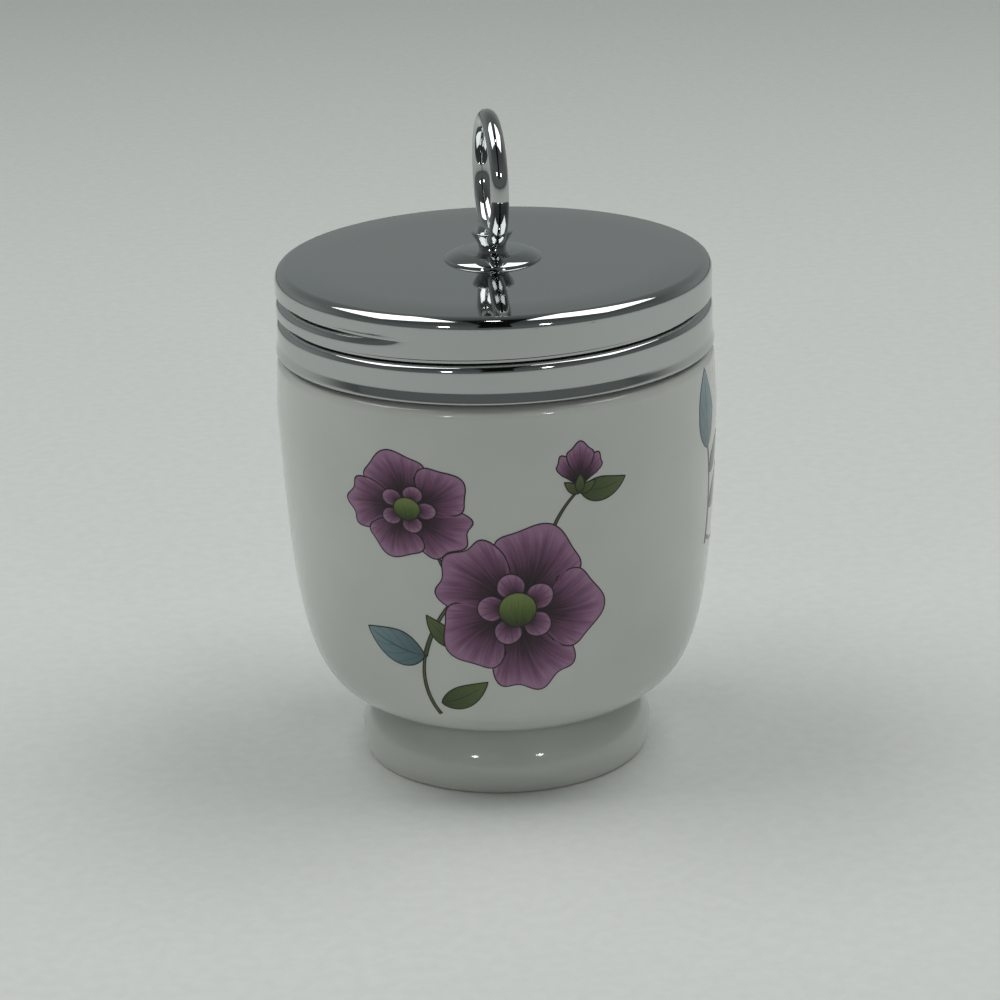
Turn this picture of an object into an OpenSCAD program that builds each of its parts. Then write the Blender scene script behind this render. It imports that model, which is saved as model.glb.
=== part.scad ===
// Egg coddler: a glazed porcelain cup on a foot, closed by a chromed screw lid with a lifting ring.
// Millimetres, +Z up. The origin is the centre of the foot's standing ring, on the table.
// The front is -Y. Both threads are right-handed, so turning the lid anticlockwise lifts it.

/* [Cup] */
// Height of the ledge round the neck, where the lid's skirt ends
shoulder_z = 57.2; // [52:0.1:70]
// Widest radius of the bowl
bowl_r = 29.5; // [24:0.1:36]
// Height of the widest place below the ledge
widest_below_ledge = 7.2; // [5:0.1:10]
// How much the bowl draws in again between its widest place and the ledge
bowl_draw_in = 0.25; // [0.1:0.05:0.6]
// Rounding of the ledge's outer edge
ledge_round = 1.6; // [0.8:0.1:2]
// Width of the ledge, from the neck to the bowl's widest radius
ledge_w = 2.6; // [2.2:0.1:4]
// Thickness of the bowl's wall at its widest place
bowl_wall = 3; // [2:0.1:4]
// Height of the neck above the ledge
neck_h = 10.4; // [9.6:0.1:13]
// Thickness of the neck's wall
neck_wall = 2.7; // [2:0.1:3.5]
// Rounding of the rim's two edges
rim_round = 0.7; // [0.3:0.1:0.9]
// Height of the cup's floor inside
floor_z = 9.6; // [8.8:0.1:12]

/* [Foot] */
// Height of the crease between the foot and the bowl
foot_h = 8.3; // [7.5:0.1:8.4]
// Largest radius of the foot
foot_r = 19.9; // [16.5:0.1:22]
// Height of the foot's widest place
foot_widest_z = 2.9; // [2.6:0.1:3.4]
// Radius of the foot's rounded side
foot_side_round = 6.2; // [6:0.1:8]
// Width of the foot's wall, round the hollow underneath
foot_wall = 3.2; // [2.4:0.1:4.5]
// Depth of the hollow underneath
foot_hollow = 5.4; // [4.5:0.1:5.8]
// Rounding of the standing ring's two edges
foot_round = 0.6; // [0.3:0.1:0.8]

/* [Thread] */
// Rise of the thread in one turn
pitch = 2.8; // [2.7:0.01:3.4]
// Height of the lid's groove at the front, below the rim
groove_drop = 4.5; // [4.2:0.1:4.9]
// Height of the porcelain thread's crest above the neck
ridge_proud = 1.1; // [0.9:0.05:1.2]
// Width of the porcelain thread at its root
ridge_w = 1.7; // [1.3:0.1:1.8]
// Width of the porcelain thread at its crest
crest_w = 0.4; // [0.3:0.05:0.5]
// Radial gap between the porcelain thread's crest and the lid's wall
thread_gap = 0.45; // [0.35:0.05:0.6]
// Depth of the groove rolled into the lid's skirt
groove_depth = 0.95; // [0.8:0.05:1]

/* [Lid] */
// Thickness of the lid's sheet
lid_wall = 0.55; // [0.45:0.05:0.7]
// Radius of the lid's top corner
corner_r = 1.5; // [1.2:0.1:2]
// Radius at which the flat top starts to turn down
crown_r = 22; // [18:0.5:23]
// How far the top turns down from there to the corner
crown_drop = 0.2; // [0.1:0.05:0.4]
// Gap between the skirt's hem and the cup's ledge
hem_gap = 0.4; // [0.3:0.05:0.8]
// Radius of the rolled hem
hem_r = 0.35; // [0.3:0.01:0.35]
// Thickness of the sealing ring between the rim and the lid
seal_t = 0.6; // [0.4:0.1:1.2]
// Gap between the sealing ring and the lid
seal_gap = 0.05; // [0.02:0.01:0.1]

/* [Ring and stud] */
// Diameter of the lifting ring's wire
wire_d = 2.4; // [1.8:0.1:3]
// Outer diameter of the lifting ring
ring_d = 18.3; // [15:0.1:24]
// Radius of the flange under the ring
flange_r = 6.45; // [5:0.05:9]
// Height of the flange's upright edge
flange_edge = 0.6; // [0.1:0.05:0.9]
// Height of the flange's sloping shoulder above that edge
shoulder_h = 0.6; // [0.3:0.05:0.7]
// Width of that shoulder
shoulder_w = 1; // [0.5:0.1:2]
// Rise of the flange's dome inside the shoulder
flange_dome = 0.1; // [0.05:0.05:0.5]
// Radius of the stud's shank
shank_r = 1.35; // [1:0.05:1.8]
// Gap round the shank in the lid, the flange and the washer
shank_gap = 0.05; // [0.03:0.01:0.1]
// Radius of the stud's head where it leaves the flange
head_foot_r = 1.8; // [1.7:0.05:2.4]
// Radius of the stud's head at its top
head_top_r = 2.8; // [2.1:0.05:3.2]
// Height of the stud's head
head_h = 2.4; // [1:0.1:2.5]
// Gap between the ring's wire and its seat in the stud's head
seat_gap = 0.03; // [0.02:0.01:0.06]
// Thickness of the metal left under the wire in the stud's head
seat_floor = 0.2; // [0.2:0.05:0.6]
// Radius of the washer under the lid's top
washer_r = 5; // [4:0.1:6]
// Thickness of the washer
washer_t = 0.6; // [0.5:0.1:1]
// Radius of the stud's riveted end
rivet_r = 2.3; // [2:0.1:3]
// Height of the stud's riveted end
rivet_h = 0.7; // [0.5:0.1:1.2]

/* [Hidden] */
$fn = 128;

// Heights and radii that the pieces share, from the foot up
rim_z = shoulder_z + neck_h;
widest_z = shoulder_z - widest_below_ledge;
neck_r = bowl_r - ledge_w;
neck_bore_r = neck_r - neck_wall;
crest_r = neck_r + ridge_proud;
skirt_bore_r = crest_r + thread_gap;
lid_r = skirt_bore_r + lid_wall;
hem_z = shoulder_z + hem_gap;
corner_x = lid_r - corner_r;
seal_z = rim_z;
lid_edge_z = rim_z + seal_t + seal_gap + lid_wall;
lid_top_z = lid_edge_z + crown_drop;
flange_h = flange_edge + shoulder_h + flange_dome;
flange_top_z = lid_top_z + flange_h;
ring_z = flange_top_z + seat_floor + ring_d / 2;
washer_z = lid_top_z - lid_wall - washer_t;
rivet_z = washer_z - rivet_h;
bore_r = shank_r + shank_gap;

// The bowl's outline is one cubic curve, from the foot's crease to the widest place. Its two handles
// are shares of its width and height: a wide flare out of the foot, then a long, slightly leaning side.
flare = [0.752, 0.06];
side = [0.914, 0.178];
// The inside widens in a short curve below the neck, and has a round bottom
widen_h = 8;
widen_r = 1.2;
bottom_h = 26.4;
bottom_round = 14;
bottom_in = 1.5;
floor_in = 8;
hollow_round = 2;

// Turns of the thread, as angles anticlockwise from front_a, a little left of the middle of the front.
// At the top, both threads stop where the rim leaves no more room for them.
steps_per_turn = 36;
front_a = -98;
thread_a0 = -160;
fade_a = 30;
groove_z = rim_z - groove_drop;
lid_thread_to_rim = 1.86;
cup_thread_to_rim = 1.51;
lid_a1 = 360 * (groove_drop - lid_thread_to_rim) / pitch;
// The porcelain thread lies between two turns of the lid's, a little below the middle
mesh_shift = pitch / 2 - 0.12;
cup_a1 = 360 * (groove_drop - mesh_shift - cup_thread_to_rim) / pitch;

function bezier(p0, p1, p2, p3, n) = [
    for (i = [0:n])
        let (t = i / n)
            pow(1 - t, 3) * p0 + 3 * pow(1 - t, 2) * t * p1 + 3 * (1 - t) * t * t * p2 + pow(t, 3) * p3
];

// Points on an arc about c, from angle a0 to a1
function arc(c, r, a0, a1, n) = [
    for (i = [0:n])
        let (a = a0 + (a1 - a0) * i / n)
            c + r * [cos(a), sin(a)]
];

// 0 at the ends of a thread, 1 once it has reached its full depth
function fade(a, a0, a1) = max(0, min(1, (a - a0) / fade_a, (a1 - a) / fade_a));

// A convex or fan-shaped section of [radius, height] points, swept along the thread. Its points on the
// open side, outwards or inwards, sink to base_r at both ends, and the others stay.
module thread_sweep(section, base_r, open_side, a0, a1) {
    n = len(section);
    steps = ceil((a1 - a0) / 360 * steps_per_turn);
    points = [
        for (i = [0:steps])
            let (a = a0 + (a1 - a0) * i / steps, f = fade(a, a0, a1), z = groove_z + pitch * a / 360)
                for (p = section)
                    let (d = p[0] - base_r, r = base_r + (d * open_side > 0 ? d * f : d))
                        [r * cos(a + front_a), r * sin(a + front_a), z + p[1]]
    ];
    sides = [
        for (i = [0:steps - 1], j = [0:n - 1])
            let (k = (j + 1) % n, p = i * n)
                each [[p + j, p + k, p + n + k], [p + j, p + n + k, p + n + j]]
    ];
    first_end = [[for (j = [n:-1:1]) j % n]];
    last_end = [[for (j = [0:n - 1]) steps * n + j]];
    polyhedron(points, concat(sides, first_end, last_end), convexity = 10);
}

// Points that turn down gently from radius r0 to r1, ending drop lower at height z1
function turn_down(r0, r1, z1, drop, n) = [
    for (i = [0:n])
        let (t = i / n)
            [r0 + (r1 - r0) * t, z1 + drop * (1 - t * t)]
];

function reversed(list) = [for (i = [len(list) - 1:-1:0]) list[i]];

// Porcelain cup: a bowl on a hollow foot, with a threaded neck inside the lid
module cup() {
    foot_mid = [foot_r - foot_side_round, foot_widest_z];
    // The side's arc runs from the standing ring's rounded edge, which it touches, up to the crease
    edge_to_mid = foot_side_round - foot_round;
    side_a0 = -asin((foot_widest_z - foot_round) / edge_to_mid);
    side_a1 = asin((foot_h - foot_widest_z) / foot_side_round);
    foot_in_r = foot_r - foot_wall;
    bowl_bore_r = bowl_r - bowl_wall;
    ledge_r = bowl_r - bowl_draw_in;
    bottom_z = floor_z + bottom_h;
    crease = foot_mid + foot_side_round * [cos(side_a1), sin(side_a1)];
    widest = [bowl_r, widest_z];
    span = widest - crease;
    dx = [span[0], 0];
    dz = [0, span[1]];
    outside = concat(
        arc(foot_mid + edge_to_mid * [cos(side_a0), sin(side_a0)], foot_round, -90, side_a0, 3),
        arc(foot_mid, foot_side_round, side_a0, side_a1, 8),
        bezier(crease, crease + dx * flare[0] + dz * flare[1],
            crease + dx * side[0] + dz * side[1], widest, 18),
        arc([ledge_r - ledge_round, shoulder_z - ledge_round], ledge_round, 0, 90, 5)
    );
    neck = concat(
        [[neck_r, shoulder_z]],
        arc([neck_r - rim_round, rim_z - rim_round], rim_round, 0, 90, 3),
        arc([neck_bore_r + rim_round, rim_z - rim_round], rim_round, 90, 180, 3)
    );
    inside = bezier([neck_bore_r, shoulder_z], [neck_bore_r + widen_r, widest_z],
        [bowl_bore_r, widest_z], [bowl_bore_r, widest_z - widen_h], 5);
    bottom = bezier([bowl_bore_r, bottom_z], [bowl_bore_r, floor_z + bottom_round],
        [bowl_bore_r - bottom_in, floor_z], [foot_in_r - floor_in, floor_z], 14);
    hollow = concat(
        [[0, floor_z], [0, foot_hollow]],
        arc([foot_in_r - hollow_round, foot_hollow - hollow_round], hollow_round, 90, 0, 4),
        arc([foot_in_r + foot_round, foot_round], foot_round, 180, 270, 3)
    );
    // The ridge starts inside the neck, so its flanks cross the neck's surface
    sunk = 0.4;
    root_w = ridge_w + (ridge_w - crest_w) * sunk / ridge_proud;
    ridge = [
        [neck_r - sunk, -root_w / 2],
        [crest_r, -crest_w / 2],
        [crest_r, crest_w / 2],
        [neck_r - sunk, root_w / 2]
    ];
    color("ghostwhite") {
        rotate_extrude()
            polygon(concat(outside, neck, inside, bottom, hollow));
        translate([0, 0, mesh_shift])
            thread_sweep(ridge, neck_r - sunk / 2, 1, thread_a0, cup_a1);
    }
}

// Sealing ring: a flat washer of pale rubber that the lid presses on the rim
module seal_ring() {
    color("linen")
        translate([0, 0, seal_z])
            difference() {
                cylinder(h = seal_t, r = corner_x);
                translate([0, 0, -1])
                    cylinder(h = seal_t + 2, r = neck_bore_r);
            }
}

// Lid: one pressed sheet with a slightly crowned top, a rolled thread and a rolled hem
module lid_shell() {
    top_z = lid_top_z - lid_wall;
    skirt = concat(
        [[bore_r, lid_top_z]],
        turn_down(crown_r, corner_x, lid_edge_z, crown_drop, 6),
        arc([corner_x, lid_edge_z - corner_r], corner_r, 80, 0, 8),
        arc([lid_r - hem_r, hem_z + hem_r], hem_r, 0, -180, 10),
        [[skirt_bore_r, hem_z + hem_r * 2]],
        arc([corner_x, lid_edge_z - corner_r], corner_r - lid_wall, 0, 80, 6),
        reversed(turn_down(crown_r, corner_x, lid_edge_z - lid_wall, crown_drop, 6)),
        [[bore_r, top_z]]
    );
    // The groove has a sharp top edge, a narrow floor and a long rounded lower shoulder. The rib is the
    // same fold seen from inside. Heights are from the middle of the groove's floor.
    floor_r = lid_r - groove_depth;
    floor_top = 0.1;
    floor_bottom = -0.25;
    shoulder = [[0.55, -0.45], [0.24, -0.8]];
    groove_top = 0.65;
    groove_end = -1.6;
    outside_r = lid_r + 0.6;
    groove = concat(
        [[outside_r, groove_top], [floor_r, floor_top], [floor_r, floor_bottom]],
        [for (s = shoulder) [lid_r - groove_depth * s[0], s[1]]],
        [[lid_r + 0.1, groove_end], [outside_r, groove_end]]
    );
    rib_r = floor_r - lid_wall;
    rib_top = 1.2;
    rib_end = -1.5;
    sunk_r = skirt_bore_r + 0.2;
    rib = [
        [sunk_r, rib_top],
        [rib_r, floor_top + 0.25],
        [rib_r, floor_bottom - 0.2],
        [skirt_bore_r - groove_depth * 0.74, shoulder[1][1]],
        [skirt_bore_r + 0.1, rib_end],
        [sunk_r, rib_end]
    ];
    color("silver")
        difference() {
            union() {
                rotate_extrude()
                    polygon(skirt);
                thread_sweep(rib, skirt_bore_r + 0.08, -1, thread_a0, lid_a1);
            }
            thread_sweep(groove, lid_r + 0.05, -1, thread_a0, lid_a1);
        }
}

// Flange: a low domed washer that spreads the ring's pull over the lid's top
module ring_flange() {
    shoulder_top = flange_edge + shoulder_h;
    shoulder_x = flange_r - shoulder_w;
    color("silver")
        translate([0, 0, lid_top_z])
            rotate_extrude()
                polygon(concat(
                    [[bore_r, 0], [flange_r, 0]],
                    bezier([flange_r, flange_edge], [flange_r, flange_edge + shoulder_h / 2],
                        [shoulder_x + shoulder_w / 2, shoulder_top], [shoulder_x, shoulder_top], 8),
                    reversed(turn_down(bore_r, shoulder_x, shoulder_top, flange_dome, 6))
                ));
}

module ring_wire(grow) {
    translate([0, 0, ring_z])
        rotate([0, 90, 0])
            rotate_extrude()
                translate([(ring_d - wire_d) / 2, 0])
                    circle(d = wire_d + 2 * grow, $fn = 48);
}

// Stud: its flared head holds the ring, its shank goes through the lid and is riveted underneath
module ring_stud() {
    color("silver") {
        difference() {
            translate([0, 0, flange_top_z])
                cylinder(h = head_h, r1 = head_foot_r, r2 = head_top_r);
            ring_wire(seat_gap);
        }
        translate([0, 0, rivet_z])
            cylinder(h = flange_top_z - rivet_z, r = shank_r);
        translate([0, 0, rivet_z])
            cylinder(h = rivet_h, r1 = rivet_r * 0.7, r2 = rivet_r);
    }
}

// Lifting ring: round wire, closed and brazed upright in the stud's head
module lifting_ring() {
    color("silver")
        ring_wire(0);
}

// Washer under the lid's top, which the stud's end is riveted over
module backing_washer() {
    color("silver")
        translate([0, 0, washer_z])
            difference() {
                cylinder(h = washer_t, r = washer_r);
                translate([0, 0, -1])
                    cylinder(h = washer_t + 2, r = bore_r);
            }
}

cup();
seal_ring();
lid_shell();
ring_flange();
ring_stud();
lifting_ring();
backing_washer();
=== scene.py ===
import math

import bpy
from mathutils import Matrix, Vector
from mathutils.kdtree import KDTree


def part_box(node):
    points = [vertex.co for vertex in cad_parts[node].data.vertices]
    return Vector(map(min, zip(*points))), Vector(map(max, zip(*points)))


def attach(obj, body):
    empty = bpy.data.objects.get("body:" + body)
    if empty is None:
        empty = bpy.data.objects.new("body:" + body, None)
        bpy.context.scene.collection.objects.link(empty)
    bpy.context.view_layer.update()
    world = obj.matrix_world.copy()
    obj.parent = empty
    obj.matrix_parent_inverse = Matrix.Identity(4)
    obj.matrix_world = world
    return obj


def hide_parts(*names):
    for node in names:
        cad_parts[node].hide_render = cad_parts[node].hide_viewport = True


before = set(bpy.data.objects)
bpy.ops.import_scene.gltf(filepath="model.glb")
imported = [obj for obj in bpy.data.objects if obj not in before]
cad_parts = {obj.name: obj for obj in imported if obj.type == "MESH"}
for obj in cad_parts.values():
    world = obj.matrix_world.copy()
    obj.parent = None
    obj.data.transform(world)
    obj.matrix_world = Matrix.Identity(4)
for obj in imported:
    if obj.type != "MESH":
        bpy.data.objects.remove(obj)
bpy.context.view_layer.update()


# --- Cup -------------------------------------------------------------------------------------------
# Hard porcelain, formed in a mould, dipped in clear glaze and fired. The foot's standing ring is wiped
# bare before firing. The neck inside the lid carries a moulded thread, softened by the glaze.

MM = 0.001
TURN = 2 * math.pi

_, cup_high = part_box("cup")
rim_z = cup_high.z / MM
bowl_r = cup_high.x / MM
neck_h = 10.4
ledge_w = 2.6
ledge_round = 1.6
bowl_draw_in = 0.25
widest_below_ledge = 7.2
bowl_wall = 3.0
neck_wall = 2.7
rim_round = 0.7
floor_z = 9.6
foot_h = 8.3
foot_r = 19.9
foot_widest_z = 2.9
foot_side_round = 6.2
foot_wall = 3.2
foot_hollow = 5.4
hollow_round = 2.0
foot_round = 0.6

shoulder_z = rim_z - neck_h
widest_z = shoulder_z - widest_below_ledge
neck_r = bowl_r - ledge_w
neck_bore_r = neck_r - neck_wall
foot_in_r = foot_r - foot_wall
bowl_bore_r = bowl_r - bowl_wall
ledge_r = bowl_r - bowl_draw_in

# The bowl is one curve from the crease up to its widest place. Its low handle lies out and up from the
# crease, and its high one in from the bowl's radius and up from the foot.
belly_low_pull = (9.6, 2.5)
belly_high_pull = (1.1, 7.4)
# Its inside is drawn in under the neck, is straight down to a little above its middle, and is round below
bore_shoulder = 8.0
bore_shoulder_pull = 1.2
bore_round_top = 26.4
bore_round_pull = 14.0
bore_floor_pull = 1.5
bore_floor_edge = 8.0

# The thread: a right-handed helix. Its angles are counted anticlockwise from the front of the cup, where
# groove_z and ridge_z are the heights of the lid's groove and of the neck's ridge above it.
thread_front = math.radians(-98)
pitch = 2.8
groove_below_rim = 4.5
thread_start = math.radians(-160)
fade = math.radians(30)
ridge_drop = 0.12
ridge_stop = 1.51
ridge_proud = 0.9
ridge_half_w = 1.1
ridge_crest = 0.25
groove_z = rim_z - groove_below_rim
ridge_z = groove_z + pitch / 2 - ridge_drop
ridge_end = TURN * (rim_z - ridge_stop - ridge_z) / pitch


def arc(centre, radius, start, end, steps):
    """Points on an arc, as (radius from the axis, height), between two angles in degrees."""
    angles = [math.radians(start + (end - start) * i / steps) for i in range(steps + 1)]
    return [(centre[0] + radius * math.cos(a), centre[1] + radius * math.sin(a)) for a in angles]


def bezier(p0, p1, p2, p3, steps):
    """Points on a cubic curve."""
    points = []
    for i in range(steps + 1):
        t = i / steps
        weights = ((1 - t) ** 3, 3 * (1 - t) ** 2 * t, 3 * (1 - t) * t * t, t ** 3)
        points.append(tuple(sum(w * p[k] for w, p in zip(weights, (p0, p1, p2, p3))) for k in (0, 1)))
    return points


def line(p0, p1, steps):
    """Evenly spaced points on a straight line, without its two ends."""
    return [tuple(a + (b - a) * i / steps for a, b in zip(p0, p1)) for i in range(1, steps)]


def deselect():
    """Nothing is selected, so that the next operator acts only on what it makes."""
    if bpy.context.object and bpy.context.object.mode != "OBJECT":
        bpy.ops.object.mode_set(mode="OBJECT")
    bpy.ops.object.select_all(action="DESELECT")


def drawn(name, points, closed):
    """A chain of vertices through points in millimetres, joined to a loop where it is closed."""
    deselect()
    bpy.ops.mesh.primitive_circle_add(vertices=len(points), radius=bowl_r * MM)
    chain = bpy.context.object
    chain.name = name
    for vertex, point in zip(chain.data.vertices, points):
        vertex.co = Vector(point) * MM
    if not closed:
        bpy.ops.object.mode_set(mode="EDIT")
        bpy.ops.mesh.select_mode(type="EDGE")
        bpy.ops.mesh.select_all(action="DESELECT")
        bpy.ops.object.mode_set(mode="OBJECT")
        for edge in chain.data.edges:
            edge.select = set(edge.vertices) == {0, len(points) - 1}
        bpy.ops.object.mode_set(mode="EDIT")
        bpy.ops.mesh.delete(type="EDGE")
        bpy.ops.object.mode_set(mode="OBJECT")
    return chain


def swept(chain, steps, turns=1, rise=0.0):
    """Sweeps a drawn outline about Z, rising in each turn, and merges what meets."""
    lathe = chain.modifiers.new("lathe", "SCREW")
    lathe.steps = steps
    lathe.render_steps = steps
    lathe.iterations = turns
    lathe.screw_offset = rise * MM
    bpy.ops.object.modifier_apply(modifier="lathe")
    bpy.ops.object.mode_set(mode="EDIT")
    bpy.ops.mesh.select_mode(type="VERT")
    bpy.ops.mesh.select_all(action="SELECT")
    bpy.ops.mesh.remove_doubles(threshold=1e-6)
    bpy.ops.mesh.normals_make_consistent(inside=False)
    bpy.ops.object.mode_set(mode="OBJECT")


def turned(name, outline, steps, closed=False):
    """A piece turned about Z, as on a lathe, from its outline of (radius, height) points."""
    piece = drawn(name, [(r, 0, z) for r, z in outline], closed)
    swept(piece, steps)
    return piece


def smooth(piece, angle):
    """Smooth shading, with edges sharper than the angle kept crisp."""
    deselect()
    bpy.context.view_layer.objects.active = piece
    piece.select_set(True)
    bpy.ops.object.shade_smooth_by_angle(angle=math.radians(angle))


def thread_places(x, y, z, middle_z, start, end):
    """For each turn of a thread beside a point: the height above its middle, and how deep it is there."""
    side = math.atan2(y, x) - thread_front
    found = []
    for turn in range(-2, 4):
        angle = side + TURN * turn
        depth = max(0.0, min(1.0, (angle - start) / fade, (end - angle) / fade))
        if depth > 0:
            ease = depth * depth * (3 - 2 * depth)
            found.append((z - middle_z - pitch * angle / TURN, ease))
    return found


# The foot's side is one arc, which meets the standing ring's rounded edge and the crease under the bowl
foot_mid = (foot_r - foot_side_round, foot_widest_z)
edge_to_mid = foot_side_round - foot_round
side_start = math.degrees(-math.asin((foot_widest_z - foot_round) / edge_to_mid))
side_end = math.degrees(math.asin((foot_h - foot_widest_z) / foot_side_round))
foot_side = arc(foot_mid, foot_side_round, side_start, side_end, 26)
foot_edge = (foot_mid[0] + edge_to_mid * math.cos(math.radians(side_start)), foot_round)
crease = foot_side.pop()
belly_low = (crease[0] + belly_low_pull[0], foot_h + belly_low_pull[1])
belly_high = (bowl_r - belly_high_pull[0], foot_h + belly_high_pull[1])
bowl = (
    bezier(crease, belly_low, belly_high, (bowl_r, widest_z), 76)[1:]
    + line((bowl_r, widest_z), (ledge_r, shoulder_z - ledge_round), 6)
    + arc((ledge_r - ledge_round, shoulder_z - ledge_round), ledge_round, 0, 90, 14)
)
# Glaze fills the crease, so a short curve stands in for its sharp corner
pool = bezier(foot_side[-1], crease, crease, bowl[0], 6)[1:-1]
outside = arc(foot_edge, foot_round, -90, side_start, 8)[:-1] + foot_side + pool + bowl
neck_side = line((neck_r, shoulder_z), (neck_r, rim_z - rim_round), 52)
rim = arc((neck_r - rim_round, rim_z - rim_round), rim_round, 0, 90, 8) + arc(
    (neck_bore_r + rim_round, rim_z - rim_round), rim_round, 90, 180, 8
)
neck_foot = (neck_bore_r, shoulder_z)
bore_high = (bowl_bore_r, widest_z - bore_shoulder)
bore_low = (bowl_bore_r, floor_z + bore_round_top)
floor_edge = (foot_in_r - bore_floor_edge, floor_z)
inside = (
    bezier(neck_foot, (neck_bore_r + bore_shoulder_pull, widest_z), (bowl_bore_r, widest_z), bore_high, 16)
    + line(bore_high, bore_low, 3)
    + bezier(bore_low, (bowl_bore_r, floor_z + bore_round_pull), (bowl_bore_r - bore_floor_pull, floor_z),
             floor_edge, 36)
)
hollow = arc((foot_in_r - hollow_round, foot_hollow - hollow_round), hollow_round, 90, 0, 10) + arc(
    (foot_in_r + foot_round, foot_round), foot_round, 180, 270, 8
)
# The outline starts on the axis in the hollow, and ends on the axis at the bowl's floor
neck = [(neck_r, shoulder_z)] + neck_side + rim
outline = [(0, foot_hollow)] + hollow + outside + neck + inside + [(0, floor_z)]
cup = turned("porcelain_cup", outline, 288)
# The thread is raised on the neck
clear_of_ledge = 0.1
skin = 0.01
for vertex in cup.data.vertices:
    x, y, z = vertex.co / MM
    r = math.hypot(x, y)
    if z > shoulder_z + clear_of_ledge and r > neck_r - skin:
        for above, depth in thread_places(x, y, z, ridge_z, thread_start, ridge_end):
            side = max(0.0, abs(above) - ridge_crest) / (ridge_half_w - ridge_crest)
            if side < 1:
                r += ridge_proud * depth * (0.5 + 0.5 * math.cos(math.pi * side))
        scale = r / math.hypot(x, y)
        vertex.co = (x * scale * MM, y * scale * MM, z * MM)
smooth(cup, 50)


def rgb(hex_colour):
    """A colour written as sRGB hex, as linear red, green, blue and alpha."""
    parts = [int(hex_colour[i:i + 2], 16) / 255 for i in (1, 3, 5)]
    return tuple(p / 12.92 if p <= 0.04045 else ((p + 0.055) / 1.055) ** 2.4 for p in parts) + (1.0,)


def new_material(name, **sockets):
    """A material with one Principled shader, whose own sockets are set by name."""
    material = bpy.data.materials.new(name)
    material.use_nodes = True
    shader = material.node_tree.nodes["Principled BSDF"]
    for socket, value in sockets.items():
        shader.inputs[socket.replace("_", " ")].default_value = value
    return material, shader


def node(material, kind, sockets=(), **settings):
    """Adds a node: settings are its properties, and sockets gives each input a value or a link."""
    made = material.node_tree.nodes.new("ShaderNode" + kind)
    for name, value in settings.items():
        setattr(made, name, value)
    for key, value in dict(sockets).items():
        if isinstance(value, bpy.types.NodeSocket):
            material.node_tree.links.new(value, made.inputs[key])
        else:
            made.inputs[key].default_value = value
    return made


def link(material, output, shader_input):
    """Joins a node's output to an input of the shader."""
    material.node_tree.links.new(output, shader_input)


def ramp(made, *stops):
    """Sets a colour ramp's stops, each as (place, sRGB hex)."""
    elements = made.color_ramp.elements
    while len(elements) < len(stops):
        elements.new(0.5)
    for element, (place, colour) in zip(elements, stops):
        element.position = place
        element.color = rgb(colour)
    return made


# Glazed porcelain: a clear, glassy coat over a cool, faintly green white body
glaze = {"Roughness": 0.42, "IOR": 1.5, "Coat_Roughness": 0.035, "Coat_IOR": 1.5}
porcelain, shader = new_material(
    "glazed_porcelain", Coat_Weight=1.0, Subsurface_Weight=0.12, Subsurface_Scale=0.0015, **glaze
)
shader.inputs["Subsurface Radius"].default_value = (1.0, 0.9, 0.8)
where = node(porcelain, "TexCoord").outputs["Object"]
cloud = node(porcelain, "TexNoise", {"Vector": where, "Scale": 1 / (14 * MM), "Detail": 2.0})
body = ramp(node(porcelain, "ValToRGB", {"Fac": cloud.outputs["Fac"]}), (0.3, "#C1C4BE"), (0.7, "#C7CAC4"))
link(porcelain, body.outputs["Color"], shader.inputs["Base Color"])
# The glaze lies in slow waves about 6 mm across, a few thousandths of a millimetre high
swell = node(porcelain, "TexNoise", {"Vector": where, "Scale": 1 / (6 * MM), "Detail": 1.0})
waves = node(porcelain, "Bump", {"Height": swell.outputs["Fac"], "Strength": 0.25, "Distance": 0.01 * MM})
link(porcelain, waves.outputs["Normal"], shader.inputs["Coat Normal"])
cup.data.materials.append(porcelain)

# Bare porcelain on the standing ring: matt, slightly warm and fine-grained, a little grubby from use
biscuit, shader = new_material("bare_porcelain", Roughness=0.75, IOR=1.5)
where = node(biscuit, "TexCoord").outputs["Object"]
grain = node(biscuit, "TexNoise", {"Vector": where, "Scale": 1 / (0.4 * MM), "Detail": 4.0})
bare = ramp(node(biscuit, "ValToRGB", {"Fac": grain.outputs["Fac"]}), (0.3, "#BDB6A8"), (0.7, "#D6D0C4"))
link(biscuit, bare.outputs["Color"], shader.inputs["Base Color"])
rough = node(biscuit, "Bump", {"Height": grain.outputs["Fac"], "Strength": 0.5, "Distance": 0.05 * MM})
link(biscuit, rough.outputs["Normal"], shader.inputs["Normal"])
cup.data.materials.append(biscuit)
bare_height = 0.25
for face in cup.data.polygons:
    face.material_index = int(face.center.z < bare_height * MM)

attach(cup, "cup")
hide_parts("cup")


# --- Print -----------------------------------------------------------------------------------------
# A transfer print in enamel colours, fired on to the glaze: a garden sprig on the front, and smaller
# ones at the right and the back. Each petal and leaf is a film of colour, a few hundredths thick.

# A film stands this far out of the glaze and this far into it, and a little higher where it lies on others
film = 0.02
film_sunk = 0.03
step_up = 0.005
outline_w = 0.17
vein_slant = 0.9
streak_scale = (22.0, 1.6, 1.0)
beads_per_edge = 8
# A petal's narrow root, the length of its sides and the wave in its tip, as shares of its own size
petal_root = 0.1
petal_side = 0.56
root_spread = 0.4
ruffle = 0.05
# A flower's inner petals and its centre, as shares of its radius
inner_petal_share = 0.42
heart_share = 0.21
sprig_front = math.radians(-104)
films = []
laid = []


def bowl_radius(z):
    """The bowl's radius at a height, on the straight between two points of its outline."""
    for (r0, z0), (r1, z1) in zip(bowl, bowl[1:]):
        if z0 <= z <= z1:
            return r0 + (r1 - r0) * (z - z0) / (z1 - z0)
    return bowl_r


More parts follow.
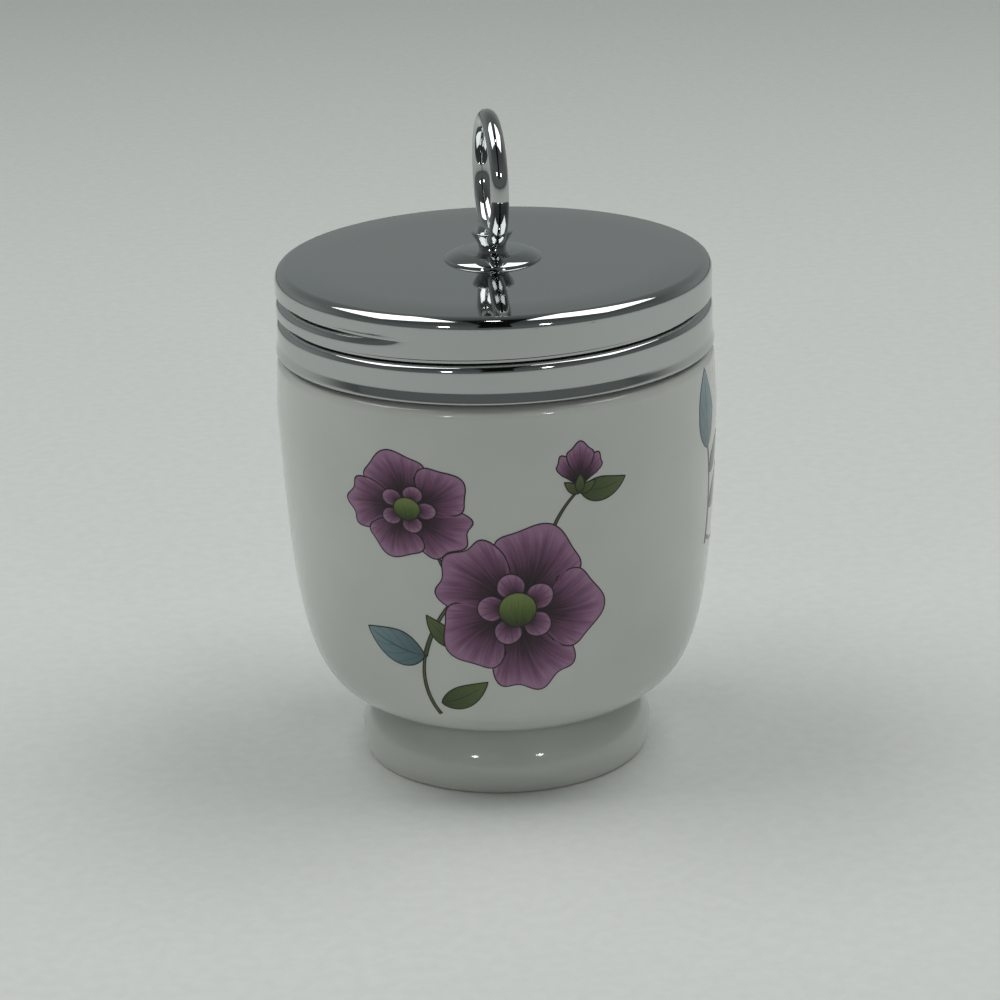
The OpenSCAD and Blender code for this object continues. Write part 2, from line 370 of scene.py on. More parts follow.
def layer_of(flat, turn):
    """How many films lie under this one: it goes on top of every earlier one that it may overlap."""
    low = [min(spot[k] for spot in flat) for k in (0, 1)]
    high = [max(spot[k] for spot in flat) for k in (0, 1)]
    below = [
        layer for other_turn, other_low, other_high, layer in laid
        if other_turn == turn and all(low[k] < other_high[k] and other_low[k] < high[k] for k in (0, 1))
    ]
    layer = max(below, default=-1) + 1
    laid.append((turn, low, high, layer))
    return layer


def edge_is_rim(piece, edge):
    """Whether an edge lies on the grid's border, while the grid is still a square from -1 to 1."""
    a, b = (piece.data.vertices[v].co for v in edge.vertices)
    return any(abs(a[k]) > 0.999 and abs(b[k]) > 0.999 and a[k] * b[k] > 0 for k in (0, 1))


def enamel_film(shape, along, across, turn, finish):
    """One film of colour. shape gives its mm to the right and its height, for s from 0 to 1 along it and t
    from -1 to 1 across it. turn is the angle of the sprig's middle on the bowl.
    """
    deselect()
    bpy.ops.mesh.primitive_grid_add(x_subdivisions=across, y_subdivisions=along, size=2)
    piece = bpy.context.object
    flat = [Vector((*shape((v.co.y + 1) / 2, v.co.x), 0)) for v in piece.data.vertices]
    rim_edges = [e for e in piece.data.edges if edge_is_rim(piece, e)]
    # Beads along the rim, from which each vertex's distance to it is measured for the dark outline
    beads = KDTree(len(rim_edges) * beads_per_edge)
    for count, edge in enumerate(rim_edges):
        a, b = (flat[v] for v in edge.vertices)
        for i in range(beads_per_edge):
            beads.insert(a.lerp(b, i / beads_per_edge), count * beads_per_edge + i)
    beads.balance()
    from_rim = piece.data.attributes.new("edge_mm", "FLOAT", "POINT")
    lift = film + step_up * layer_of(flat, turn)
    for vertex, spot, value in zip(piece.data.vertices, flat, from_rim.data):
        value.value = beads.find(spot)[2]
        angle = turn + spot.x / bowl_r
        r = bowl_radius(spot.y) + lift
        vertex.co = Vector((r * math.cos(angle), r * math.sin(angle), spot.y)) * MM
    bpy.ops.object.mode_set(mode="EDIT")
    bpy.ops.mesh.select_all(action="SELECT")
    bpy.ops.mesh.remove_doubles(threshold=1e-7)
    bpy.ops.object.mode_set(mode="OBJECT")
    outwards = Vector((math.cos(turn), math.sin(turn), 0))
    facing = sum((polygon.normal * polygon.area for polygon in piece.data.polygons), Vector()).dot(outwards)
    sheet = piece.modifiers.new("sheet", "SOLIDIFY")
    sheet.thickness = (lift + film_sunk) * MM
    sheet.offset = -1 if facing > 0 else 1
    bpy.ops.object.modifier_apply(modifier="sheet")
    piece.data.materials.append(finish)
    films.append(piece)


def petal(centre, direction, length, spread, turn, lobes=2, curl=0.0, flat=1.0):
    """A petal from a flower's centre: lobed at its tip, and foreshortened upright where flat is under 1."""
    heading, half = math.radians(direction), math.radians(spread)
    root = petal_root * length

    def shape(s, t):
        round_tip = petal_side + (1 - petal_side) * math.sqrt(1 - abs(t) ** 2.4)
        tip = length * round_tip * (1 + ruffle * math.cos(math.pi * lobes * t))
        r = root + (tip - root) * s
        angle = heading + half * t * (root_spread + (1 - root_spread) * s ** 0.6) + curl * s * s
        return centre[0] + r * math.cos(angle), centre[1] + r * math.sin(angle) * flat

    enamel_film(shape, 14, 40, turn, petal_enamel)


def ribbon(start, direction, length, bend, half_width, turn, finish, along=24, across=6):
    """A leaf or a stem along an arc that turns by bend degrees. Returns its end and its last direction."""
    nearly_straight = 0.1
    heading, turning = math.radians(direction), math.radians(bend or nearly_straight)

    def middle(s):
        angle = heading + turning * s
        x = start[0] + length * (math.sin(angle) - math.sin(heading)) / turning
        return x, start[1] - length * (math.cos(angle) - math.cos(heading)) / turning

    def shape(s, t):
        x, z = middle(s)
        angle = heading + turning * s
        return x + half_width(s) * t * math.sin(angle), z - half_width(s) * t * math.cos(angle)

    enamel_film(shape, along, across, turn, finish)
    return middle(1), direction + bend


def leaf(start, direction, length, width, bend, turn, finish):
    """A pointed leaf, widest a little below its middle."""

    def half_width(s):
        return width / 2 * max(math.sin(math.pi * s ** 0.8), 0) ** 0.85

    ribbon(start, direction, length, bend, half_width, turn, finish, along=28, across=12)


def stem(start, direction, length, bend, turn, width=0.75):
    """A stem that thins towards its end."""
    return ribbon(start, direction, length, bend, lambda s: width / 2 * (1 - 0.35 * s), turn, stem_enamel)


def blossom(centre, radius, first, turn, flat=1.0):
    """A flower with five broad petals, a ring of five short ones and a round green centre."""
    for i in (0, 3, 1, 4, 2):
        length = radius * (1 - 0.05 * (i % 3))
        petal(centre, first + 72 * i, length, 43, turn, lobes=2 + i % 2, curl=0.12, flat=flat)
    for i in range(5):
        length = radius * inner_petal_share
        petal(centre, first + 36 + 72 * i, length, 34, turn, lobes=1, curl=0.1, flat=flat)
    half = radius * heart_share

    def disc(s, t):
        up = 2 * s - 1
        right = half * t * math.sqrt(1 - up * up / 2)
        return centre[0] + right, centre[1] + half * flat * up * math.sqrt(1 - t * t / 2)

    enamel_film(disc, 16, 16, turn, heart_enamel)


def enamel(name, colours, outline, streak, vein_count=0):
    """Enamel print colour under a gloss: shaded along each film, with drawn veins and a dark outline."""
    sockets = {**glaze, "Coat_IOR": 1.4}
    material, shader = new_material(name, Coat_Weight=1.0, Specular_IOR_Level=0.0, **sockets)
    uv = node(material, "UVMap")
    along = node(material, "SeparateXYZ", {0: uv.outputs[0]})
    stretched = node(material, "Mapping", {"Vector": uv.outputs[0], "Scale": streak_scale})
    streaks = node(material, "TexNoise", {"Vector": stretched.outputs[0], "Scale": 1.0, "Detail": 3.0})
    spread = {"Value": streaks.outputs["Fac"], "To Min": -streak, "To Max": streak}
    streaky = node(material, "MapRange", spread)
    shade = node(material, "Math", {0: along.outputs["Y"], 1: streaky.outputs[0]}, operation="ADD")
    body = ramp(node(material, "ValToRGB", {"Fac": shade.outputs[0]}), *colours)
    rim_mm = node(material, "Attribute", attribute_name="edge_mm")
    fading = {"From Min": outline_w * 0.7, "From Max": outline_w * 1.3, "To Min": 1.0, "To Max": 0.0}
    ink = node(material, "MapRange", {"Value": rim_mm.outputs["Fac"], **fading})
    if vein_count:
        # A rib along the middle, and veins that slant up from it to both sides
        from_middle = node(material, "Math", {0: along.outputs["X"], 1: 0.5}, operation="SUBTRACT")
        beside = node(material, "Math", {0: from_middle.outputs[0]}, operation="ABSOLUTE").outputs[0]
        slant = {0: beside, 1: -vein_slant, 2: along.outputs["Y"]}
        slanting = node(material, "Math", slant, operation="MULTIPLY_ADD").outputs[0]
        repeat = node(material, "Math", {0: slanting, 1: float(vein_count)}, operation="MULTIPLY")
        saw = node(material, "Math", {0: repeat.outputs[0], 1: 0.5}, operation="PINGPONG").outputs[0]
        veins = node(material, "MapRange", {"Value": saw, "From Max": 0.06, "To Min": 0.55, "To Max": 0.0})
        rib = node(material, "MapRange", {"Value": beside, "From Max": 0.035, "To Min": 0.8, "To Max": 0.0})
        for drawing in (veins, rib):
            ink = node(material, "Math", {0: drawing.outputs[0], 1: ink.outputs[0]}, operation="MAXIMUM")
    inking = {"Factor": ink.outputs[0], 6: body.outputs[0], 7: rgb(outline)}
    inked = node(material, "Mix", inking, data_type="RGBA")
    link(material, inked.outputs[2], shader.inputs["Base Color"])
    return material


mauve = [(0.2, "#150C11"), (0.46, "#42263A"), (0.73, "#744D6B"), (0.98, "#9A7492")]
olive = [(0.0, "#3A4526"), (0.5, "#4D5B34"), (1.0, "#606D42")]
slate = [(0.0, "#4F666B"), (0.5, "#678187"), (1.0, "#7C979B")]
moss = [(0.1, "#33401E"), (0.5, "#566A30"), (0.9, "#75844A")]
twig = [(0.0, "#4C5138"), (1.0, "#5E6448")]
petal_enamel = enamel("mauve_enamel", mauve, "#231B1D", 0.26)
leaf_enamel = enamel("olive_enamel", olive, "#262A1C", 0.2, vein_count=6)
slate_enamel = enamel("slate_blue_enamel", slate, "#222C30", 0.15, vein_count=4)
stem_enamel = enamel("stem_enamel", twig, "#2A2C20", 0.1)
heart_enamel = enamel("flower_heart_enamel", moss, "#1E2414", 0.3)

# The front sprig: a stem from the lower left to the large flower, a branch to the small one, and another
# to a bud at the upper right
fork, heading = stem((-7.5, 13.5), 118, 9.5, -45, sprig_front)
stem(fork, heading, 9.0, -22, sprig_front)
branch_end, _ = stem((-3.5, 33.5), 128, 7.0, -30, sprig_front, 0.6)
bud, _ = stem((9.0, 38.5), 78, 8.5, -38, sprig_front, 0.6)
leaf(fork, 175, 9.5, 5.2, -28, sprig_front, slate_enamel)
leaf((-7.0, 15.5), 12, 8.5, 3.6, 30, sprig_front, leaf_enamel)
leaf(branch_end, 178, 6.8, 3.0, 34, sprig_front, leaf_enamel)
leaf(bud, -18, 7.0, 3.4, 48, sprig_front, leaf_enamel)
leaf((-3.4, 24.5), 150, 6.2, 2.8, -30, sprig_front, leaf_enamel)
for direction, length, spread in ((118, 5.2, 22), (60, 5.2, 22), (88, 6.2, 26)):
    petal(bud, direction, length, spread, sprig_front)
for direction in (140, 35, 88):
    leaf((bud[0], bud[1] - 0.6), direction, 2.8, 1.4, 0, sprig_front, leaf_enamel)
blossom((-9.5, 43.4), 9.4, 100, sprig_front, 0.82)
blossom((4.8, 29.8), 12.4, 62, sprig_front, 0.96)

# A smaller sprig at the right, whose edge shows from the front, and the same one at the back
for sprig in (math.radians(-14), math.radians(112)):
    fork, _ = stem((-6.4, 31.0), 78, 14.0, 30, sprig, 0.7)
    leaf(fork, 106, 11.4, 5.6, -22, sprig, slate_enamel)
    leaf((-5.6, 36.0), 20, 7.6, 3.2, 36, sprig, leaf_enamel)
    leaf((-6.3, 41.2), 24, 7.0, 3.0, 26, sprig, leaf_enamel)
    stem((-6.2, 32.0), -26, 13.0, 34, sprig, 0.6)
    top, _ = stem((9.0, 34.0), 100, 10.0, -30, sprig, 0.6)
    bud = (top[0], top[1] - 0.8)
    for direction, length, spread in ((122, 4.4, 24), (62, 4.4, 24), (92, 5.0, 28)):
        petal(bud, direction, length, spread, sprig)
    for direction in (138, 40):
        leaf(bud, direction, 2.2, 1.1, 0, sprig, leaf_enamel)
    blossom((9.0, 31.0), 6.6, 30, sprig, 0.9)

deselect()
for piece in films:
    piece.select_set(True)
bpy.context.view_layer.objects.active = films[0]
bpy.ops.object.join()
flower_print = bpy.context.object
flower_print.name = "flower_print"
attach(flower_print, "cup")


# --- Lid shell -------------------------------------------------------------------------------------
# One disc of sheet brass, pressed to a cap. The thread is rolled into its skirt, the hem is curled
# under, and the whole is polished, nickelled and chromed.

lid_low, lid_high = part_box("lid_shell")
lid_r = lid_high.x / MM
lid_top_z = lid_high.z / MM
hem_z = lid_low.z / MM
lid_wall = 0.55
corner_r = 1.5
crown_r = 22.0
crown_drop = 0.2
hem_r = 0.27
hem_flare_h = 1.5
hem_soft = 0.06
hem_slope = 0.18
shank_hole_r = 1.4
lid_steps = 288
skirt_bore_r = lid_r - lid_wall
lid_edge_z = lid_top_z - crown_drop
corner = (lid_r - corner_r, lid_edge_z - corner_r)
groove_stop = 1.86
groove_end = TURN * (rim_z - groove_stop - groove_z) / pitch
groove_depth = 0.95
lip_steepness = 1.04
lip_above = 0.44
floor_above = 0.1
floor_below = 0.25
shoulder_below = 1.6
# Between these heights above the groove's middle, the band under its lip is painted dark as shade, with a
# little grime
shade_and_grime_low = 0.02
shade_and_grime_high = 0.3


def groove(above):
    """The rolled groove's depth at a height above its middle: a crisp lip, a floor and a long shoulder."""
    if above >= lip_above or above <= -shoulder_below:
        return 0.0
    if above > floor_above:
        return groove_depth * min(1.0, lip_steepness * (lip_above - above) / (lip_above - floor_above))
    if above >= -floor_below:
        return groove_depth
    share = (-floor_below - above) / (shoulder_below - floor_below)
    return groove_depth * (1 - share) ** 3


def crown(thickness_below, steps):
    """The top's outline from the flat to the corner, where it turns gently down."""
    points = []
    for i in range(steps + 1):
        t = i / steps
        r = crown_r + (corner[0] - crown_r) * t
        points.append((r, lid_top_z - crown_drop * t * t - thickness_below))
    return points


# The skirt's outside is swept as a screw, so that its rows of faces follow the groove. They crowd together
# where it turns sharply.
rows = (
    [pitch - shoulder_below, 0.85, 0.6, 0.5, lip_above + 0.015, lip_above]
    + [lip_above - (lip_above - floor_above) * t for t in (0.04, 0.15, 0.4, 0.7, 0.93, 1.0)]
    + [0.0, -0.1, -0.2, -floor_below]
    + [-floor_below - (shoulder_below - floor_below) * (i / 16) ** 1.4 for i in range(1, 17)]
)
sweep_turns = 6
turns_below = 3
front = [lid_r * math.cos(thread_front), lid_r * math.sin(thread_front)]
skirt = drawn("lid_plate", [(*front, groove_z + row - turns_below * pitch) for row in rows], closed=False)
swept(skirt, lid_steps, turns=sweep_turns, rise=pitch)
top_cut = corner[1]
bottom_cut = hem_z + 2 * hem_r
bpy.ops.object.mode_set(mode="EDIT")
bpy.ops.mesh.select_all(action="SELECT")
bpy.ops.mesh.bisect(plane_co=(0, 0, top_cut * MM), plane_no=(0, 0, 1), clear_outer=True)
bpy.ops.mesh.select_all(action="SELECT")
bpy.ops.mesh.bisect(plane_co=(0, 0, bottom_cut * MM), plane_no=(0, 0, 1), clear_inner=True)
for height in [hem_z + hem_flare_h + hem_soft * share for share in (-1, -0.5, 0, 0.5, 1)]:
    bpy.ops.mesh.select_all(action="SELECT")
    bpy.ops.mesh.bisect(plane_co=(0, 0, height * MM), plane_no=(0, 0, 1))
bpy.ops.object.mode_set(mode="OBJECT")
# The groove is rolled in, and the faces under its upper edge are marked for a dark line: painted shade of
# the groove's deep corner, with a little grime
groove_shade_and_grime = skirt.data.attributes.new("groove_shade_and_grime", "FLOAT", "POINT")
for vertex in skirt.data.vertices:
    x, y, z = vertex.co / MM
    r = lid_r
    for above, depth in thread_places(x, y, z, groove_z, thread_start, groove_end):
        r -= groove(above) * depth
        if shade_and_grime_low < above < shade_and_grime_high:
            groove_shade_and_grime.data[vertex.index].value = depth
    scale = r / math.hypot(x, y)
    vertex.co = (x * scale * MM, y * scale * MM, z * MM)

# The rest of the sheet: over the top and down to the corner, and from the hem up inside to the hole
inside_skirt = line((skirt_bore_r, bottom_cut), (skirt_bore_r, corner[1]), 64)
under_top_z = lid_top_z - lid_wall
sheet = (
    arc((lid_r - hem_r, hem_z + hem_r), hem_r, 0, -180, 14)
    + [(skirt_bore_r, bottom_cut)]
    + inside_skirt
    + arc(corner, corner_r - lid_wall, 0, 84, 10)
    + crown(lid_wall, 8)[::-1]
    + line((crown_r, under_top_z), (shank_hole_r, under_top_z), 8)
    + [(shank_hole_r, under_top_z), (shank_hole_r, lid_top_z)]
    + line((shank_hole_r, lid_top_z), (crown_r, lid_top_z), 24)
    + crown(0, 12)
    + arc(corner, corner_r, 84, 0, 20)
)
cap = turned("lid_cap", sheet, lid_steps)
# Inside the skirt the groove shows as a round bead, which is the lid's thread
bead_proud = 0.96 * groove_depth
bead_half_w = 1.5
bead_drop = 0.1
clear_of_cuts = 0.05
mid_wall_r = lid_r - lid_wall / 2
for vertex in cap.data.vertices:
    x, y, z = vertex.co / MM
    if bottom_cut + clear_of_cuts < z < top_cut - clear_of_cuts and math.hypot(x, y) < mid_wall_r:
        r = skirt_bore_r
        for above, depth in thread_places(x, y, z, groove_z, thread_start, groove_end):
            share = max(0.0, 1 - abs(above + bead_drop) / bead_half_w)
            r -= bead_proud * depth * share * share * (3 - 2 * share)
        scale = r / math.hypot(x, y)
        vertex.co = (x * scale * MM, y * scale * MM, z * MM)

deselect()
cap.select_set(True)
skirt.select_set(True)
bpy.context.view_layer.objects.active = skirt
bpy.ops.object.join()
# The skirt and the cap are bridged at their open edges near each cut
for height, near in ((top_cut, 0.1), (bottom_cut, 0.75)):
    bpy.ops.object.mode_set(mode="EDIT")
    bpy.ops.mesh.select_mode(type="EDGE")
    bpy.ops.mesh.select_all(action="SELECT")
    bpy.ops.mesh.region_to_loop()
    bpy.ops.object.mode_set(mode="OBJECT")
    for edge in skirt.data.edges:
        if edge.select:
            middle = sum(skirt.data.vertices[v].co.z for v in edge.vertices) / 2 / MM
            edge.select = abs(middle - height) < near
    bpy.ops.object.mode_set(mode="EDIT")
    bpy.ops.mesh.bridge_edge_loops()
bpy.ops.mesh.select_all(action="SELECT")
bpy.ops.mesh.remove_doubles(threshold=1e-6)
bpy.ops.mesh.normals_make_consistent(inside=False)
bpy.ops.object.mode_set(mode="OBJECT")
# The hem is flared a little, below a crisp bend
for vertex in skirt.data.vertices:
    x, y, z = vertex.co / MM
    below = hem_z + hem_flare_h - z
    if below > -hem_soft and math.hypot(x, y) > crown_r:
        flare = hem_slope * (below if below > hem_soft else (below + hem_soft) ** 2 / (4 * hem_soft))
        scale = 1 + flare / math.hypot(x, y)
        vertex.co = (x * scale * MM, y * scale * MM, z * MM)
smooth(skirt, 40)


chrome_tint = rgb("#B9BCBC")


def chrome_plate(name, wear_mm):
    """Bright chromium plate on polished metal: a hard, cool mirror, with a film of wipe marks."""
    material, shader = new_material(name, Metallic=1.0, Base_Color=chrome_tint)
    where = node(material, "TexCoord").outputs["Object"]
    wipes = node(material, "TexNoise", {"Vector": where, "Scale": 1 / (wear_mm * MM), "Detail": 3.0})
    dulling = {"From Min": 0.35, "From Max": 0.7, "To Min": 0.035, "To Max": 0.075}
    haze = node(material, "MapRange", {"Value": wipes.outputs["Fac"], **dulling})
    link(material, haze.outputs["Result"], shader.inputs["Roughness"])
    polish = {"Height": wipes.outputs["Fac"], "Strength": 0.12, "Distance": 0.004 * MM}
    ripple = node(material, "Bump", polish)
    link(material, ripple.outputs["Normal"], shader.inputs["Normal"])
    return material, shader


lid_chrome, shader = chrome_plate("chromed_sheet", 9.0)
# Under the groove's sharp upper edge the plate is painted near black: painted shade of the groove's deep
# corner, with a little grime
shade_and_grime_mask = node(lid_chrome, "Attribute", attribute_name="groove_shade_and_grime")
shading_and_griming = {"Factor": shade_and_grime_mask.outputs["Fac"], 6: chrome_tint, 7: rgb("#1D1D1B")}
shaded_and_grimy = node(lid_chrome, "Mix", shading_and_griming, data_type="RGBA")
link(lid_chrome, shaded_and_grimy.outputs[2], shader.inputs["Base Color"])
skirt.data.materials.append(lid_chrome)
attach(skirt, "lid")
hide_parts("lid_shell")


# --- Seal ring and backing washer ------------------------------------------------------------------
# A die-cut ring of pale rubber lies on the rim. A punched steel washer backs the stud under the lid.
# Both are plain flat rings, so the frame's own nodes are shown, with a finish of their own.

# Sheet rubber: matt and pale, a little yellowed in patches
seal_rubber, shader = new_material("pale_rubber", Roughness=0.7, IOR=1.52)
where = node(seal_rubber, "TexCoord").outputs["Object"]
bloom = node(seal_rubber, "TexNoise", {"Vector": where, "Scale": 1 / (3 * MM), "Detail": 4.0})
aged = [(0.3, "#CFC8B6"), (0.7, "#DDD7C8")]
pale = ramp(node(seal_rubber, "ValToRGB", {"Fac": bloom.outputs["Fac"]}), *aged)
link(seal_rubber, pale.outputs["Color"], shader.inputs["Base Color"])

# Bare sheet steel: grey, with a scuffed satin shine
washer_steel, shader = new_material("punched_steel", Metallic=1.0, Base_Color=rgb("#B4B2AE"))
where = node(washer_steel, "TexCoord").outputs["Object"]
scuff = node(washer_steel, "TexNoise", {"Vector": where, "Scale": 1 / (0.8 * MM), "Detail": 5.0})
dull = node(washer_steel, "MapRange", {"Value": scuff.outputs["Fac"], "To Min": 0.2, "To Max": 0.45})
link(washer_steel, dull.outputs["Result"], shader.inputs["Roughness"])

for name, material in (("seal_ring", seal_rubber), ("backing_washer", washer_steel)):
    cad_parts[name].data.materials.clear()
    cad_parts[name].data.materials.append(material)


# --- Flange ----------------------------------------------------------------------------------------
# A low round disc with a rounded shoulder and a slightly domed top, turned from brass and chromed. The
# stud clamps it to the lid's top.

_, flange_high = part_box("ring_flange")
flange_r = flange_high.x / MM
flange_top_z = flange_high.z / MM
flange_edge = 0.15
flange_shoulder_h = 1.0
flange_shoulder_w = 2.6
flange_dome = 0.15
shoulder_x = flange_r - flange_shoulder_w
shoulder_low = lid_top_z + flange_edge
shoulder_top = shoulder_low + flange_shoulder_h
shoulder_handles = (
    (flange_r, shoulder_low + flange_shoulder_h / 3), (shoulder_x + flange_shoulder_w / 3, shoulder_top)
)
shoulder = bezier((flange_r, shoulder_low), *shoulder_handles, (shoulder_x, shoulder_top), 28)
dome = [
    (shank_hole_r + (shoulder_x - shank_hole_r) * t, shoulder_top + flange_dome * (1 - t * t))
    for t in (i / 16 for i in range(17))
]
flange_outline = [(shank_hole_r, lid_top_z), (flange_r, lid_top_z)] + shoulder[:-1] + dome[::-1]
flange = turned("ring_flange_plate", flange_outline, 192, closed=True)
smooth(flange, 40)
# The flange, the stud and the ring share one plate, with finer wipe marks than the sheet's
ring_chrome, _ = chrome_plate("chromed_turned_metal", 4.0)
flange.data.materials.append(ring_chrome)
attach(flange, "lid")
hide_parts("ring_flange")


# --- Stud ------------------------------------------------------------------------------------------
# Turned brass: a flared head with a seat for the ring, and a shank through flange, lid and washer, which
# is riveted over below. The ring is brazed into the seat.

stud_low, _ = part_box("ring_stud")
head_h = 2.4
head_foot_r = 1.8
head_top_r = 2.8
head_low_pull = 0.9
head_high_pull = (0.4, 1.3)
head_edge = 0.15
seat_slack = 0.02
shank_r = 1.35
rivet_z = stud_low.z / MM
rivet_r = 2.3
rivet_h = 0.7
ring_low, ring_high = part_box("lifting_ring")
wire_r = 1.2
ring_r = (ring_high.z - ring_low.z) / 2 / MM - wire_r
ring_z = (ring_high.z + ring_low.z) / 2 / MM
head_edge_z = flange_top_z + head_h - head_edge
head_handles = (
    (head_foot_r, flange_top_z + head_low_pull),
    (head_top_r - head_high_pull[0], flange_top_z + head_high_pull[1]),
)
head = bezier((head_foot_r, flange_top_z), *head_handles, (head_top_r, head_edge_z), 16)
rivet_handles = ((rivet_r * 0.9, rivet_z + 0.05), (rivet_r, rivet_z + 0.35))
rivet = bezier((rivet_r * 0.5, rivet_z), *rivet_handles, (rivet_r, rivet_z + rivet_h), 8)
stud_outline = (
    [(0, rivet_z)]
    + rivet
    + [(shank_r, rivet_z + rivet_h), (shank_r, flange_top_z)]
    + head
    + arc((head_top_r - head_edge, head_edge_z), head_edge, 0, 90, 6)[1:]
    + [(0, flange_top_z + head_h)]
)
stud = turned("ring_stud_turned", stud_outline, 96)
deselect()
bpy.ops.mesh.primitive_torus_add(
    major_radius=ring_r * MM, minor_radius=(wire_r + seat_slack) * MM,
    major_segments=160, minor_segments=48,
    location=(0, 0, ring_z * MM), rotation=(0, math.pi / 2, 0),
)
seat = bpy.context.object
deselect()
bpy.context.view_layer.objects.active = stud
stud.select_set(True)
cut = stud.modifiers.new("seat", "BOOLEAN")
cut.operation = "DIFFERENCE"
cut.solver = "EXACT"
cut.object = seat
bpy.ops.object.modifier_apply(modifier="seat")
bpy.data.objects.remove(seat)
smooth(stud, 40)
stud.data.materials.append(ring_chrome)
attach(stud, "lid")
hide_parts("ring_stud")


# --- Lifting ring ----------------------------------------------------------------------------------
# Round brass wire, bent to a ring and closed with a butt joint, which stands in the stud's seat. It is
# polished after brazing and chromed, which leaves faint ripples in its mirror.

deselect()
bpy.ops.mesh.primitive_torus_add(
    major_radius=ring_r * MM, minor_radius=wire_r * MM, major_segments=288, minor_segments=64,
    location=(0, 0, ring_z * MM), rotation=(0, math.pi / 2, 0),
)
ring = bpy.context.object
ring.name = "lifting_ring_wire"
bpy.ops.object.transform_apply(location=True, rotation=True, scale=True)
# The butt joint is a fine groove round the wire, at the bottom of the ring, where it stands in the seat
joint_w = 0.12
joint_depth = 0.05
for vertex in ring.data.vertices:
    x, y, z = vertex.co / MM
    around = math.atan2(y, -(z - ring_z))
    off = abs(around) * ring_r
    if off < joint_w:
        middle = Vector((0, math.sin(around) * ring_r, ring_z - math.cos(around) * ring_r))
        out = Vector((x, y, z)) - middle
        vertex.co = (middle + out * (1 - joint_depth * (1 - off / joint_w) / wire_r)) * MM
smooth(ring, 40)
ring.data.materials.append(ring_chrome)
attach(ring, "lid")
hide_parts("lifting_ring")


# --- Camera, floor and light -----------------------------------------------------------------------
# The camera looks down at the cup from a little to its left, as in the photograph. The floor is a pale
# sheet of paper. Two softboxes hang left and right over the cup, with a black flag between them, and three
# small lamps add the points of light that the photograph has.

camera_turn = math.radians(-8.4)
camera_pitch = math.radians(19.2)
camera_roll = math.radians(-1.72)
camera_distance = 0.4592
camera_target = Vector((0, 0, 0.0349))
focal_in_widths = 3.383
floor_width = 6
round_z = Matrix.Rotation(camera_turn, 4, "Z")
forward = round_z @ Vector((0, math.cos(camera_pitch), -math.sin(camera_pitch)))
camera_data = bpy.data.cameras.new("camera")
camera_data.sensor_width = 36
camera_data.lens = focal_in_widths * camera_data.sensor_width
camera = bpy.data.objects.new("camera", camera_data)
bpy.context.scene.collection.objects.link(camera)
bpy.context.scene.camera = camera
camera.location = camera_target - forward * camera_distance
camera.rotation_mode = "QUATERNION"
level = forward.to_track_quat("-Z", "Y")
camera.rotation_quaternion = level @ Matrix.Rotation(camera_roll, 4, "Z").to_quaternion()
bpy.context.scene.view_settings.view_transform = "Standard"

deselect()
bpy.ops.mesh.primitive_plane_add(size=floor_width, location=(0, 0, 0))
floor = bpy.context.object
floor.name = "floor"
# Uncoated paper: matt, with a faint mottle from its tooth
paper, shader = new_material("pale_paper", Roughness=0.85, IOR=1.4)
where = node(paper, "TexCoord").outputs["Object"]
tooth = node(paper, "TexNoise", {"Vector": where, "Scale": 1 / (2 * MM), "Detail": 3.0})
mottle = ramp(node(paper, "ValToRGB", {"Fac": tooth.outputs["Fac"]}), (0.35, "#DADDD9"), (0.65, "#DEE1DD"))
link(paper, mottle.outputs["Color"], shader.inputs["Base Color"])
floor.data.materials.append(paper)


def panel(name, middle, size, radiance, aim=(0, 0, -1), shape="RECTANGLE"):
    """A flat light that shines along aim. x is to the camera's right, and y away from it."""
    data = bpy.data.lights.new(name, "AREA")
    data.shape = shape
    data.size, data.size_y = size
    area = size[0] * size[1] * (math.pi / 4 if shape == "DISK" else 1)
    data.energy = radiance * math.pi * area
    light = bpy.data.objects.new(name, data)
    bpy.context.scene.collection.objects.link(light)
    light.location = round_z @ Vector(middle)
    light.rotation_euler = (round_z.to_quaternion() @ Vector(aim).to_track_quat("-Z", "Y")).to_euler()
    light.visible_camera = False


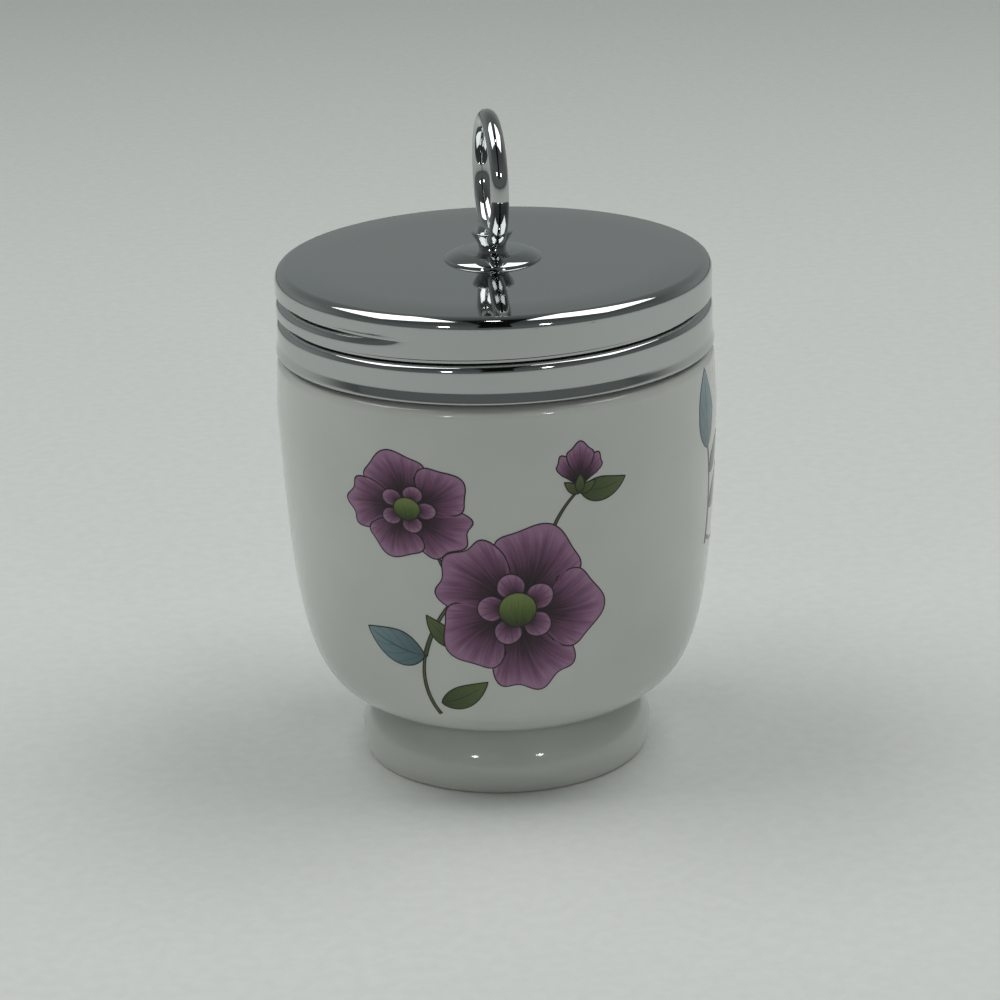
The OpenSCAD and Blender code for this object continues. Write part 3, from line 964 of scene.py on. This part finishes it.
softbox = (0.54, 0.56)
low_lamp = (0.09, 0.09)
lit_spot = Vector((0, 0, 0.05))
panel("softbox_left", (-0.43, 0.05, 0.70), softbox, 3.0)
panel("softbox_right", (0.40, 0.05, 0.70), softbox, 3.0)
for name, x in (("low_lamp_left", -0.39), ("low_lamp_right", 0.39)):
    lamp = Vector((x, -0.80, 0.36))
    panel(name, lamp, low_lamp, 20.37, lit_spot - lamp, "DISK")
panel("lamp_over_camera", (-0.005, -0.14, 0.68), (0.05, 0.04), 9.0)

# The flag is a black card, bent over the camera, which the chrome mirrors as a dark bar between the lights.
# Each of its three edges across lies at a distance behind the cup's axis, or before it where that is
# negative, and at a height.
deselect()
bpy.ops.mesh.primitive_grid_add(x_subdivisions=1, y_subdivisions=2, size=2)
flag = bpy.context.object
flag.name = "flag"
flag_half_w = 0.12
flag_ends = {1: (-0.02, 0.74), 0: (-0.78, 0.74), -1: (-0.78, 0.24)}
for vertex in flag.data.vertices:
    vertex.co = round_z @ Vector((vertex.co.x * flag_half_w, *flag_ends[round(vertex.co.y)]))
black_card, shader = new_material("black_card", Roughness=0.9, IOR=1.4, Base_Color=rgb("#101010"))
flag.data.materials.append(black_card)
flag.visible_camera = False

# The room's plain walls: paler near the floor, darker overhead, and darker behind the camera
world = bpy.data.worlds.new("studio")
bpy.context.scene.world = world
world.use_nodes = True
towards = node(world, "TexCoord").outputs["Generated"]
split = node(world, "SeparateXYZ", {0: towards})
walls = [(0.0, "#8D9291"), (0.26, "#8C9190"), (0.6, "#747978"), (1.0, "#616665")]
heights = ramp(node(world, "ValToRGB", {"Fac": split.outputs["Z"]}), *walls)
depths = ramp(node(world, "ValToRGB", {"Fac": split.outputs["Y"]}), (0.0, "#BEBEBE"), (0.5, "#FFFFFF"))
tones = {"Factor": 1.0, 6: heights.outputs["Color"], 7: depths.outputs["Color"]}
room = node(world, "Mix", tones, data_type="RGBA", blend_type="MULTIPLY")
link(world, room.outputs[2], world.node_tree.nodes["Background"].inputs["Color"])
